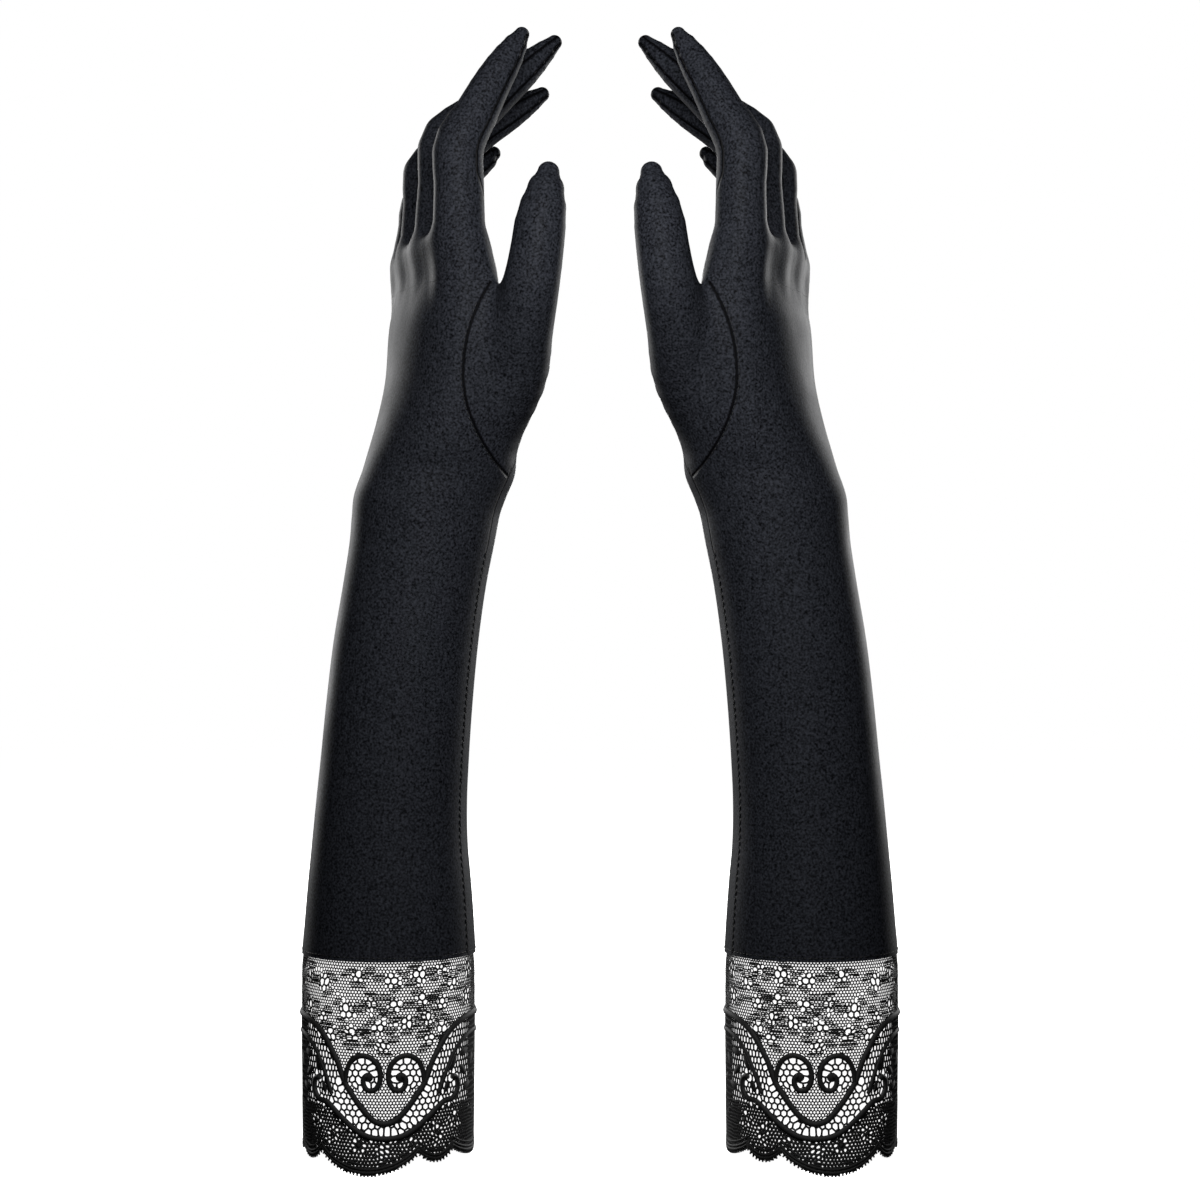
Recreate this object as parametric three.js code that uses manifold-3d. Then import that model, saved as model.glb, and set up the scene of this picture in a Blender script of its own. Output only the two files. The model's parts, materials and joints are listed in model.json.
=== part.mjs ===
// A pair of long satin opera gloves with scalloped lace cuffs, standing upright as if worn.
// Millimetres, +Z up, fingers at the top. The palms face each other and the thumbs point to -Y.
// The left glove is built once and the right glove is its mirror image across the YZ plane.
// A knuckle, wrist or thumb root is a fabric ball that turns inside the piece it comes out of.
import * as THREE from 'three';
import { mergeVertices } from 'three/addons/utils/BufferGeometryUtils.js';
import Module from 'manifold-3d';

const wasm = await Module();
wasm.setup();

const degrees = THREE.MathUtils.degToRad;

// Fabric and clearances
const satinWall = 0.8;
const laceWall = 0.5;
const fitGap = 0.3;
const hingeGap = 0.45;
const threadRadius = 0.5;
const facetRoom = 0.5;

// Arm and cuff
const gloveSpacing = 170;
const cuffDepth = 83;
const cuffLap = 4;
const cuffEdgeRadius = 33.4;
const sleeveLength = 186;
const hemRadius = 34.2;
const forearmRadius = 28.6;
const wristRadius = 29.9;
const wristOffset = 17.6;
const hemOffset = 0.4;
const sideSeamAngle = -24;

// Lace scallops: each fills its angle and hangs from the notches between them
const scallopStart = -45.5;
const notchHeight = 9;
const scallops = [
  { width: 70, height: 0 },
  { width: 27.5, height: 4.5 },
  { width: 55, height: 4.5 },
  { width: 27.5, height: 4.5 },
];

// How far a cutting body runs past what it cuts
const overrun = 5;

// Hand, in its own frame: +X towards the palm, +Y towards the little finger, Z = 0 at the wrist
const handTurn = degrees(20);
const palmLength = 93;
const palmBreadth = 38.5;
const palmThickness = 17;
const knuckleThickness = 13.2;
const fourchetteWidth = 9;
const fourchetteDepth = 11;
const fourchetteReach = 20;
const wristBallRadius = 27.3;

// Fingers: knuckle place and rest angles from the vertical, towards the palm
const fingerRadius = 9.8;
const fingers = {
  index: { palm: 2.0, across: -30.9, rise: 0, radius: fingerRadius, lean: 0, curl: 29, base: 38.6, tip: 58 },
  middle: { palm: 0.4, across: -10.7, rise: 4, radius: fingerRadius, lean: 3, curl: 44, base: 39.1, tip: 69 },
  ring: { palm: 0.0, across: 9.7, rise: 2, radius: 9.6, lean: 3, curl: 49, base: 32.4, tip: 65.5 },
  little: { palm: 1.0, across: 29.9, rise: -3.7, radius: 9.0, lean: 9, curl: 45, base: 28.0, tip: 44 },
};

// Thumb, in the hand's frame
const thumbBallRadius = 15.5;
const thumbRoot = new THREE.Vector3(24, -30.5, 44);
const thumbRootRadius = 11.2;
const thumbKnuckle = { reach: new THREE.Vector3(0.3, -20.9, 30.3), radius: 11.2 };
const thumbJoint = { reach: new THREE.Vector3(3.7, -24.3, 58.9), radius: 9.8 };
const thumbPad = { reach: new THREE.Vector3(6.2, -23.6, 71), radius: 7.4 };
const thumbTip = { reach: new THREE.Vector3(8.4, -22, 80), radius: 3.6 };

// How far each joint's edges are cut back, so that it turns between its limits
const wristCut = { palm: 40, back: 30 };
const knuckleCut = { palm: 45, back: 20 };
const jointFlex = { index: 40, middle: 30, ring: 25, little: 30 };
const thumbMouth = 30;
const coverMargin = 7;

// Facets
const armSides = 36;
const armRows = 5;
const handSides = 20;
const wristBallSteps = 6;
const fingerSides = 10;
const thumbSides = 12;
const threadSides = 4;

const satin = { color: 0x1b1d21, roughness: 0.55, metalness: 0 };
const lace = { color: 0x0c0c0e, roughness: 0.75, metalness: 0 };
const thread = { color: 0x101114, roughness: 0.6, metalness: 0 };

function toSolid(geometry) {
  geometry.deleteAttribute('normal');
  geometry.deleteAttribute('uv');
  const merged = mergeVertices(geometry, 1e-4);
  const mesh = new wasm.Mesh({
    numProp: 3,
    vertProperties: new Float32Array(merged.attributes.position.array),
    triVerts: new Uint32Array(merged.index.array),
  });
  return new wasm.Manifold(mesh);
}

// A cut can leave flakes with no thickness, so only the largest body is the piece
function largestBody(solid) {
  return solid.decompose().reduce((best, body) => (body.volume() > best.volume() ? body : best));
}

function toMesh(name, solid, finish) {
  const mesh = largestBody(solid).getMesh();
  const geometry = new THREE.BufferGeometry();
  geometry.setAttribute('position', new THREE.BufferAttribute(mesh.vertProperties, 3));
  geometry.setIndex(new THREE.BufferAttribute(mesh.triVerts, 1));
  geometry.computeVertexNormals();
  const object = new THREE.Mesh(geometry, new THREE.MeshStandardMaterial(finish));
  object.name = name;
  return object;
}

// Closed body through a stack of rings that have the same number of points
function loft(rings) {
  const sides = rings[0].length;
  const points = rings.flat();
  const faces = [];
  for (let row = 0; row < rings.length - 1; row += 1) {
    for (let side = 0; side < sides; side += 1) {
      const here = row * sides + side;
      const next = row * sides + (side + 1) % sides;
      faces.push(here, next, next + sides, here, next + sides, here + sides);
    }
  }
  for (const [row, flip] of [[0, true], [rings.length - 1, false]]) {
    const centre = new THREE.Vector3();
    rings[row].forEach((point) => centre.addScaledVector(point, 1 / sides));
    points.push(centre);
    for (let side = 0; side < sides; side += 1) {
      const here = row * sides + side;
      const next = row * sides + (side + 1) % sides;
      faces.push(points.length - 1, flip ? next : here, flip ? here : next);
    }
  }
  const geometry = new THREE.BufferGeometry().setFromPoints(points);
  geometry.setIndex(faces);
  return toSolid(geometry);
}

// Level ring: an ellipse whose corners fill out as square grows above 2
function levelRing(station, sides, shrink = 0) {
  const ring = [];
  for (let side = 0; side < sides; side += 1) {
    const angle = 2 * Math.PI * side / sides;
    const power = 2 / station.square;
    const along = Math.sign(Math.cos(angle)) * Math.abs(Math.cos(angle)) ** power;
    const across = Math.sign(Math.sin(angle)) * Math.abs(Math.sin(angle)) ** power;
    ring.push(new THREE.Vector3(
      station.x + (station.thickness - shrink) * along,
      station.y + (station.breadth - shrink) * across,
      station.z,
    ));
  }
  return ring;
}

// Round ring square to a direction, with its first point along the reference
function turnedRing(centre, direction, reference, radius, sides) {
  const second = new THREE.Vector3().crossVectors(direction, reference).normalize();
  const first = new THREE.Vector3().crossVectors(second, direction).normalize();
  const ring = [];
  for (let side = 0; side < sides; side += 1) {
    const angle = 2 * Math.PI * side / sides;
    ring.push(centre.clone()
      .addScaledVector(first, radius * Math.cos(angle))
      .addScaledVector(second, radius * Math.sin(angle)));
  }
  return ring;
}

// Body of revolution about Z from a profile of [radius, height] that starts and ends on the axis
function turned(profile, sides) {
  const points = profile.map(([radius, height]) => new THREE.Vector2(radius, height));
  return new THREE.LatheGeometry(points, sides).rotateX(Math.PI / 2);
}

function ball(radius, sides, steps = sides / 2) {
  const profile = [];
  for (let step = 0; step <= steps; step += 1) {
    const angle = Math.PI * step / steps - Math.PI / 2;
    const onAxis = step === 0 || step === steps;
    profile.push([onAxis ? 0 : radius * Math.cos(angle), radius * Math.sin(angle)]);
  }
  return turned(profile, sides);
}

// Ball-shaped cut whose flat facets all stay outside a turning ball of this radius and its gap
function socket(radius) {
  const sides = 16;
  const facet = Math.PI / sides;
  return ball((radius + fitGap) / Math.cos(facet) ** 2, sides);
}

function bore(radius, bottom, top, sides) {
  return turned([[0, bottom], [radius, bottom], [radius, top], [0, top]], sides);
}

// Prism along Y between two places, from an outline of [x, z] points
function prism(outline, from, to) {
  const shape = new THREE.Shape(outline.map(([x, z]) => new THREE.Vector2(x, z)));
  const geometry = new THREE.ExtrudeGeometry(shape, { depth: to - from, bevelEnabled: false });
  return geometry.rotateX(Math.PI / 2).translate(0, to, 0);
}

// Everything above a roof whose ridge is the hinge axis; the slopes fall by these angles
function aboveRoof(palmSlope, backSlope, drop, reach) {
  return [
    [0, -drop],
    [reach, -drop - reach * Math.tan(degrees(palmSlope))],
    [reach, reach],
    [-reach, reach],
    [-reach, -drop - reach * Math.tan(degrees(backSlope))],
  ];
}

// Everything below a valley whose bottom is the hinge axis; the slopes rise by these angles
function belowValley(palmSlope, backSlope, reach) {
  return [
    [0, 0],
    [-reach, reach * Math.tan(degrees(backSlope))],
    [-reach, -reach],
    [reach, -reach],
    [reach, reach * Math.tan(degrees(palmSlope))],
  ];
}

// The round hole in the bottom of a ball that a hand passes through: palm and back are the
// angles below the ball's equator where its fabric ends
function ballMouth(radius, palm, back) {
  const opening = (180 - palm - back) / 2;
  const side = (back - palm) / 2;
  const mouth = bore(radius * Math.sin(degrees(opening)), -1.2 * radius, 0, fingerSides);
  return mouth.rotateY(-degrees(side));
}

// Thread laid in a closed loop
function threadLoop(centre, direction, radius, sides) {
  const ring = new THREE.TorusGeometry(radius, threadRadius, threadSides, sides);
  const turn = new THREE.Quaternion().setFromUnitVectors(new THREE.Vector3(0, 0, 1), direction);
  return toSolid(ring.applyQuaternion(turn).translate(centre.x, centre.y, centre.z));
}

// --- Arm -------------------------------------------------------------------------------------

const armCurve = new THREE.CatmullRomCurve3([
  new THREE.Vector3(hemOffset, hemRadius, 0),
  new THREE.Vector3(hemOffset, forearmRadius + 2.6, 0.2 * sleeveLength),
  new THREE.Vector3(2.4, forearmRadius + 0.5, 0.42 * sleeveLength),
  new THREE.Vector3(8.6, forearmRadius - 0.2, 0.72 * sleeveLength),
  new THREE.Vector3(wristOffset - 1.2, wristRadius, 0.95 * sleeveLength),
  new THREE.Vector3(wristOffset, wristRadius, sleeveLength),
]);

function armStation(share) {
  const point = armCurve.getPoint(share);
  return { x: point.x, y: 0, z: cuffDepth + point.z, thickness: point.y, breadth: point.y, square: 2 };
}

// The sleeve is straight between these rows
const armStations = Array.from({ length: armRows + 1 }, (_, row) => armStation(row / armRows));

function armRings(shrink, extra) {
  const rings = armStations.map((station) => levelRing(station, armSides, shrink));
  rings[0].forEach((point) => point.setZ(point.z - extra));
  const top = armStations[armRows];
  rings.push(levelRing({ ...top, z: top.z + 2 + extra }, armSides, shrink));
  return rings;
}

function armSleeve() {
  const shell = loft(armRings(0, 0)).subtract(loft(armRings(satinWall, overrun)));
  const reach = 2 * wristRadius;
  const roof = aboveRoof(wristCut.palm / 2, wristCut.back / 2, hingeGap, reach);
  const notch = prism(roof, -reach, reach).rotateZ(handTurn);
  notch.translate(wristOffset, 0, cuffDepth + sleeveLength);
  return shell.subtract(toSolid(notch));
}

// Height of the lace edge at an angle, in degrees from the front; the pattern repeats twice
function laceEdge(angle) {
  let into = (((angle - scallopStart) % 180) + 180) % 180;
  for (const scallop of scallops) {
    if (into <= scallop.width) {
      const drop = Math.sin(Math.PI * into / scallop.width) ** 0.7;
      return notchHeight - (notchHeight - scallop.height) * drop;
    }
    into -= scallop.width;
  }
  return notchHeight;
}

const laceTopRadius = hemRadius + fitGap + laceWall;

function laceRing(height, radius, edge = false) {
  const round = { thickness: radius, breadth: radius, square: 2 };
  const ring = levelRing({ x: hemOffset, y: 0, z: height, ...round }, armSides);
  if (edge) {
    ring.forEach((point, side) => point.setZ(laceEdge(360 * side / armSides + 90)));
  }
  return ring;
}

function laceCuff() {
  const top = cuffDepth + cuffLap;
  const outside = loft([
    laceRing(0, cuffEdgeRadius, true),
    laceRing(0.35 * cuffDepth, (laceTopRadius + cuffEdgeRadius) / 2),
    laceRing(0.7 * cuffDepth, laceTopRadius),
    laceRing(top, laceTopRadius),
  ]);
  const inside = loft([
    laceRing(-overrun, cuffEdgeRadius - laceWall),
    laceRing(notchHeight, cuffEdgeRadius - laceWall),
    laceRing(0.35 * cuffDepth, (laceTopRadius + cuffEdgeRadius) / 2 - laceWall),
    laceRing(0.7 * cuffDepth, laceTopRadius - laceWall),
    laceRing(top + overrun, laceTopRadius - laceWall),
  ]);
  return outside.subtract(inside);
}

function hemThread() {
  const centre = new THREE.Vector3(hemOffset, 0, cuffDepth + cuffLap / 2);
  const radius = laceTopRadius + fitGap + threadRadius;
  return threadLoop(centre, new THREE.Vector3(0, 0, 1), radius, armSides);
}

// The sleeve's one lengthwise seam, on the thumb's side, from the cuff to near the wrist
function sideThread() {
  const seamAngle = degrees(sideSeamAngle);
  const offset = fitGap + threadRadius + facetRoom / 2;
  const points = armStations.map((station) => new THREE.Vector3(
    station.x + (station.breadth + offset) * Math.cos(seamAngle),
    (station.breadth + offset) * Math.sin(seamAngle),
    station.z,
  ));
  points[0].lerp(points[1], 0.3);
  points[armRows].lerp(points[armRows - 1], 0.55);
  const section = new THREE.Shape().absarc(0, 0, threadRadius, 0, 2 * Math.PI);
  const geometry = new THREE.ExtrudeGeometry(section, {
    steps: 2 * armRows,
    curveSegments: threadSides,
    bevelEnabled: false,
    extrudePath: new THREE.CatmullRomCurve3(points, false, 'catmullrom', 0),
  });
  return toSolid(geometry);
}

// --- Hand ------------------------------------------------------------------------------------

const handStations = [
  { z: 0, x: 0, y: 0, thickness: wristRadius, breadth: wristRadius, square: 2 },
  { z: 13, x: -0.4, y: 0, thickness: 25.5, breadth: 33, square: 2 },
  { z: 25, x: -0.2, y: 0, thickness: 20.8, breadth: 36, square: 2 },
  { z: 41, x: 1.1, y: -0.4, thickness: palmThickness + 0.5, breadth: palmBreadth, square: 2 },
  {
    z: 0.7 * palmLength,
    x: 2.2,
    y: -0.8,
    thickness: palmThickness - 0.8,
    breadth: palmBreadth + 1.5,
    square: 2.2,
  },
  {
    z: 0.88 * palmLength,
    x: 1.2,
    y: -0.5,
    thickness: palmThickness - 2.4,
    breadth: palmBreadth + 2.5,
    square: 3,
  },
  {
    z: palmLength + 10,
    x: 0.9,
    y: -0.5,
    thickness: knuckleThickness,
    breadth: palmBreadth + 3,
    square: 4,
  },
];

function handBody(shrink, from) {
  return loft(handStations.slice(from).map((station) => levelRing(station, handSides, shrink)));
}

function knucklePlace(finger) {
  return new THREE.Vector3(finger.palm, finger.across, palmLength + finger.rise);
}

const fingerList = Object.entries(fingers);

// The slab of the hand that one finger moves in, halfway to its neighbours
function fingerSlab(index) {
  const here = fingerList[index][1].across;
  const before = index > 0 ? fingerList[index - 1][1].across : here - 60;
  const after = index < fingerList.length - 1 ? fingerList[index + 1][1].across : here + 60;
  return [(here + before) / 2, (here + after) / 2];
}

function knuckleRoof(index) {
  const place = knucklePlace(fingerList[index][1]);
  const [from, to] = fingerSlab(index);
  const roof = aboveRoof(knuckleCut.palm * 2 / 3, knuckleCut.back, hingeGap, 30);
  return toSolid(prism(roof, from, to).translate(place.x, 0, place.z));
}

function knuckleSocket(index) {
  const finger = fingerList[index][1];
  const place = knucklePlace(finger);
  return toSolid(socket(finger.radius).translate(place.x, place.y, place.z));
}

function handPiece() {
  const reach = 2 * wristRadius;
  const halfPalm = wristCut.palm / 2;
  const halfBack = wristCut.back / 2;
  const valley = toSolid(prism(belowValley(halfPalm, halfBack, reach), -reach, reach));
  const innerRadius = wristBallRadius - satinWall;
  const palmEdge = wristCut.back + halfPalm + coverMargin;
  const backEdge = wristCut.palm + halfBack + coverMargin;
  const wristBall = toSolid(ball(wristBallRadius, handSides, wristBallSteps))
    .subtract(toSolid(ballMouth(wristBallRadius, palmEdge, backEdge)));
  let piece = handBody(0, 0).subtract(valley).add(wristBall);
  piece = piece.subtract(toSolid(ball(innerRadius, handSides, wristBallSteps)));
  const throat = innerRadius * Math.cos(degrees(halfPalm)) - 1;
  piece = piece.subtract(toSolid(bore(throat, 0, handStations[1].z + 2, handSides)));
  piece = piece.subtract(handBody(satinWall, 1));
  for (let index = 0; index < fingerList.length; index += 1) {
    piece = piece.subtract(knuckleRoof(index)).subtract(knuckleSocket(index));
  }
  const thumbHole = socket(thumbBallRadius).translate(thumbRoot.x, thumbRoot.y, thumbRoot.z);
  return piece.subtract(toSolid(thumbHole));
}

// Root of the gusset between two fingers, set into the top of the hand
function fourchette(index) {
  const near = knucklePlace(fingerList[index][1]);
  const far = knucklePlace(fingerList[index + 1][1]);
  const top = Math.max(near.z, far.z);
  const low = Math.min(near.z, far.z) - fourchetteDepth;
  const middle = (near.y + far.y) / 2;
  const outline = [
    [-fourchetteReach, low],
    [fourchetteReach, low],
    [fourchetteReach, top],
    [-fourchetteReach, top],
  ];
  const block = prism(outline, middle - fourchetteWidth / 2, middle + fourchetteWidth / 2);
  let piece = handBody(satinWall + fitGap, 3).intersect(toSolid(block));
  for (const side of [index, index + 1]) {
    piece = piece.subtract(knuckleRoof(side)).subtract(knuckleSocket(side));
  }
  return piece;
}

// --- Fingers ---------------------------------------------------------------------------------

// Fabric ball with the start of a tube on it. Angles in degrees; lean turns it towards the palm.
function jointedTube(options) {
  const { ballRadius, outside, inside, valley, mouth, throat, lean } = options;
  const reach = 3 * ballRadius;
  const below = prism(belowValley(valley.palm, valley.back, reach), -reach, reach);
  const cut = toSolid(below.rotateY(degrees(valley.lean)));
  const mouthShape = ballMouth(ballRadius, mouth.palm, mouth.back);
  const mouthCap = toSolid(mouthShape.rotateY(degrees(mouth.lean)));
  const tube = toSolid(outside.rotateY(degrees(lean)));
  const hollow = toSolid(inside.rotateY(degrees(lean)));
  const passage = toSolid(bore(throat, 0, 1.6 * ballRadius, fingerSides).rotateY(degrees(lean)));
  return tube.subtract(cut)
    .add(toSolid(ball(ballRadius, fingerSides)).subtract(mouthCap))
    .subtract(toSolid(ball(ballRadius - satinWall, fingerSides)))
    .subtract(passage)
    .subtract(hollow);
}

function fingerBase(finger, name) {
  const flex = finger.curl - finger.lean + jointFlex[name];
  const outer = finger.radius;
  const collar = 7;
  const tube = jointedTube({
    ballRadius: outer,
    lean: finger.lean,
    outside: turned([[0, 0], [outer, 0], [outer, finger.base + 3], [0, finger.base + 3]], fingerSides),
    inside: turned([
      [0, collar - 2],
      [outer - satinWall - 2, collar - 2],
      [outer - satinWall, collar],
      [outer - satinWall, finger.base + 5],
      [0, finger.base + 5],
    ], fingerSides),
    valley: { palm: knuckleCut.palm / 3, back: 0, lean: 0 },
    mouth: {
      palm: knuckleCut.palm * 2 / 3 + knuckleCut.back + coverMargin,
      back: knuckleCut.palm + knuckleCut.back + coverMargin,
      lean: 0,
    },
    throat: outer - satinWall - 2,
  });
  const roof = prism(aboveRoof(flex / 2, 0, hingeGap, 30), -30, 30).rotateY(degrees(finger.lean));
  const joint = jointPlace(finger);
  return tube.subtract(toSolid(roof.translate(joint.x, joint.y, joint.z)));
}

// Middle joint of a finger, from its knuckle
function jointPlace(finger) {
  return new THREE.Vector3(
    finger.base * Math.sin(degrees(finger.lean)),
    0,
    finger.base * Math.cos(degrees(finger.lean)),
  );
}

// Rounded, narrowing end of a finger: its radius along the length, with shrink for the inside
function fingerEnd(finger, shrink, start) {
  const profile = [[0, start]];
  for (const share of [0, 0.3, 0.6, 0.82, 0.94]) {
    const radius = finger.radius * (1 - share ** 2.1) ** 0.72 - shrink;
    profile.push([radius, Math.max(start, share * finger.tip)]);
  }
  profile.push([0, finger.tip - shrink]);
  return turned(profile, fingerSides);
}

function fingerTip(finger, name) {
  const bend = finger.curl - finger.lean;
  const flex = bend + jointFlex[name];
  const ballRadius = finger.radius - satinWall - fitGap - 0.25;
  return jointedTube({
    ballRadius,
    lean: finger.curl,
    outside: fingerEnd(finger, 0, 0),
    inside: fingerEnd(finger, satinWall, 10),
    valley: { palm: flex / 2, back: 0, lean: finger.curl },
    mouth: { palm: flex / 2 + coverMargin - 3, back: flex + coverMargin - 2, lean: finger.curl },
    throat: (ballRadius - satinWall) * Math.cos(degrees(flex / 2)) - 0.2,
  });
}

// --- Thumb -----------------------------------------------------------------------------------

function thumbBody(shrink, start) {
  const stations = [
    { reach: new THREE.Vector3(), radius: thumbRootRadius },
    thumbKnuckle,
    thumbJoint,
    thumbPad,
    thumbTip,
  ];
  const rings = [];
  const across = new THREE.Vector3(1, 0, 0);
  stations.forEach((station, index) => {
    const before = stations[Math.max(index - 1, 0)].reach;
    const after = stations[Math.min(index + 1, stations.length - 1)].reach;
    const direction = after.clone().sub(before).normalize();
    const centre = index === 0 ? direction.clone().multiplyScalar(start) : station.reach.clone();
    if (index === stations.length - 1) {
      centre.addScaledVector(direction, -shrink);
    }
    rings.push(turnedRing(centre, direction, across, station.radius - shrink, thumbSides));
  });
  return loft(rings);
}

// Direction from the thumb's root to the nearest place on the palm
function palmDirection() {
  const station = handStations[3];
  const away = new THREE.Vector3(thumbRoot.x - station.x, thumbRoot.y - station.y, 0);
  let nearest = new THREE.Vector3();
  for (let angle = -80; angle <= 0; angle += 1) {
    const point = new THREE.Vector3(
      station.thickness * Math.cos(degrees(angle)),
      station.breadth * Math.sin(degrees(angle)),
      0,
    );
    if (point.distanceTo(away) < nearest.distanceTo(away)) {
      nearest = point;
    }
  }
  return nearest.sub(away);
}

function thumbPiece() {
  const inwards = palmDirection().normalize();
  const mouth = bore(thumbBallRadius * Math.sin(degrees(thumbMouth)), 0, 1.2 * thumbBallRadius, thumbSides);
  mouth.applyQuaternion(new THREE.Quaternion().setFromUnitVectors(new THREE.Vector3(0, 0, 1), inwards));
  return thumbBody(0, 0)
    .add(toSolid(ball(thumbBallRadius, thumbSides)))
    .subtract(toSolid(ball(thumbBallRadius - satinWall, thumbSides)))
    .subtract(thumbBody(satinWall, 8))
    .subtract(toSolid(mouth));
}

function thumbThread() {
  const direction = palmDirection();
  const depth = direction.length() - fitGap - threadRadius - 2 * facetRoom;
  const away = thumbBallRadius + fitGap + threadRadius + facetRoom;
  const radius = Math.sqrt(away ** 2 - depth ** 2);
  const inwards = direction.normalize();
  const centre = thumbRoot.clone().addScaledVector(inwards, depth);
  return threadLoop(centre, inwards, radius, handSides);
}

// --- Assembly --------------------------------------------------------------------------------

function glove(side) {
  const whole = new THREE.Group();
  whole.add(
    toMesh(`${side}_lace_cuff`, laceCuff(), lace),
    toMesh(`${side}_hem_thread`, hemThread(), thread),
    toMesh(`${side}_arm_sleeve`, armSleeve(), satin),
    toMesh(`${side}_side_thread`, sideThread(), thread),
  );
  const hand = new THREE.Group();
  hand.position.set(wristOffset, 0, cuffDepth + sleeveLength);
  hand.rotation.z = handTurn;
  hand.add(toMesh(`${side}_hand`, handPiece(), satin), toMesh(`${side}_thumb_thread`, thumbThread(), thread));
  const thumb = toMesh(`${side}_thumb`, thumbPiece(), satin);
  thumb.position.copy(thumbRoot);
  hand.add(thumb);
  fingerList.forEach(([name, finger], index) => {
    const base = toMesh(`${side}_${name}_base`, fingerBase(finger, name), satin);
    const tip = toMesh(`${side}_${name}_tip`, fingerTip(finger, name), satin);
    base.position.copy(knucklePlace(finger));
    tip.position.copy(knucklePlace(finger)).add(jointPlace(finger));
    hand.add(base, tip);
    if (index + 1 < fingerList.length) {
      const pair = `${name}_${fingerList[index + 1][0]}`;
      hand.add(toMesh(`${side}_${pair}_fourchette`, fourchette(index), satin));
    }
  });
  whole.add(hand);
  return whole;
}

const gloves = new THREE.Group();
const left = glove('left');
left.position.x = -gloveSpacing / 2;
const right = glove('right');
right.position.x = gloveSpacing / 2;
right.scale.x = -1;
gloves.add(left, right);

// The origin is the middle of the pair's footprint, at the height of the lowest scallops
const extent = new THREE.Box3().setFromObject(gloves);
gloves.position.y = -(extent.min.y + extent.max.y) / 2;
gloves.position.z = -extent.min.z;

export default gloves;
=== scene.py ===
import json
import math

import bpy
import numpy as np
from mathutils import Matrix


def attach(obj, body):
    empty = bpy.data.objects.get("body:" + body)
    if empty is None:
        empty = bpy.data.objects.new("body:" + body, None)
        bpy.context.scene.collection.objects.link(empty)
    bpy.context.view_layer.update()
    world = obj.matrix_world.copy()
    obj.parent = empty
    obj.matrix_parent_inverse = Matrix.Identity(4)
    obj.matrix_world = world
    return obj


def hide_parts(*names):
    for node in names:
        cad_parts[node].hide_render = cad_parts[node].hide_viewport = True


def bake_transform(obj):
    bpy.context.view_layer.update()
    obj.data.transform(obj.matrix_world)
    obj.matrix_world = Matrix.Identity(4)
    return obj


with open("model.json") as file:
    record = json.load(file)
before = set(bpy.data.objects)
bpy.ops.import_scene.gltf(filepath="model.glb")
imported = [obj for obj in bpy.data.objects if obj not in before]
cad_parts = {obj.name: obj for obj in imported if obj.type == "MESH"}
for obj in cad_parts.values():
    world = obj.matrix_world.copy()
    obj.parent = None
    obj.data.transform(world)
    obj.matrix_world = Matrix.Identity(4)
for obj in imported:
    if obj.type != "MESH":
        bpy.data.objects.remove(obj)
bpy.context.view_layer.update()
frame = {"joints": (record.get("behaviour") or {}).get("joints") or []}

import openvdb
from mathutils import Vector
from mathutils.geometry import delaunay_2d_cdt

# A pair of long stretch-satin gloves with a scalloped lace cuff. Each glove is one
# skin, cut into panels where the hand bends, then sewn. Sizes here are millimetres.
MM = 0.001

joints = {joint["name"]: joint for joint in frame["joints"]}


def joint_place(name):
    """Where a joint turns, in millimetres."""
    return np.array(joints[name]["pos_m"]) / MM


# The left hand is turned about its own length: PALM points out of the palm and
# ACROSS runs along the knuckles towards the little finger.
HAND_TURN = math.radians(20)
PALM = np.array([math.cos(HAND_TURN), math.sin(HAND_TURN), 0.0])
ACROSS = np.array([-math.sin(HAND_TURN), math.cos(HAND_TURN), 0.0])
WRIST = joint_place("left_wrist")
THUMB_ROOT = joint_place("left_thumb_root")
FINGERS = ("index", "middle", "ring", "little")

HEM_HEIGHT = 83.0
WEAVE_STEP = 0.9        # spacing of the points on the skin

# The forearm: height, centre across the front, radius.
FOREARM = (
    (76.0, -84.4, 34.8),
    (83.0, -84.4, 34.6),
    (96.0, -84.2, 33.7),
    (111.5, -84.1, 32.5),
    (127.5, -84.0, 31.0),
    (143.5, -83.3, 30.1),
    (159.5, -82.1, 29.6),
    (183.5, -80.1, 29.2),
    (207.5, -77.5, 28.9),
    (231.5, -73.8, 28.6),
    (247.5, -71.0, 29.0),
    (257.0, -69.7, 29.5),
    (264.5, -68.4, 30.1),
)
# The hand: height above the wrist, centre towards the palm and across, half the
# thickness, half the breadth, and how square the section is (2 is an ellipse).
HAND = (
    (7.0, 1.9, 0.0, 29.0, 31.6, 2.0),
    (13.0, 1.4, 0.0, 26.4, 33.8, 2.0),
    (25.0, 1.4, -0.2, 22.4, 36.5, 2.0),
    (41.0, 2.6, -0.4, 19.4, 39.0, 2.0),
    (65.0, 4.4, -0.8, 18.2, 41.0, 2.2),
    (82.0, 5.8, -0.5, 15.8, 41.0, 2.4),
    (94.0, 3.4, -0.5, 15.0, 40.4, 2.5),
    (112.0, 1.6, -0.5, 12.8, 38.4, 2.7),
)
# Each finger past its middle joint: two bones, with length and lean towards the
# palm, then half the thickness at the knuckle, middle joint and end joint, and the
# height of the web beside it.
FINGER_BONES = {
    "index": ((29.3, 28.3), (26.0, 31.6), (10.2, 9.9, 7.4), 368.0),
    "middle": ((31.3, 47.0), (34.8, 47.0), (10.2, 10.0, 7.6), 368.0),
    "ring": ((27.8, 52.0), (34.8, 57.0), (9.9, 9.8, 7.4), 367.0),
    "little": ((20.2, 54.0), (20.9, 52.0), (9.2, 8.8, 6.8), 362.0),
}
FINGER_SLIMNESS = 1.1   # thickness over breadth
FINGERTIP = 3.3
WEB_FILLET = 5.0
THUMB_FILLET = 13.0
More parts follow.
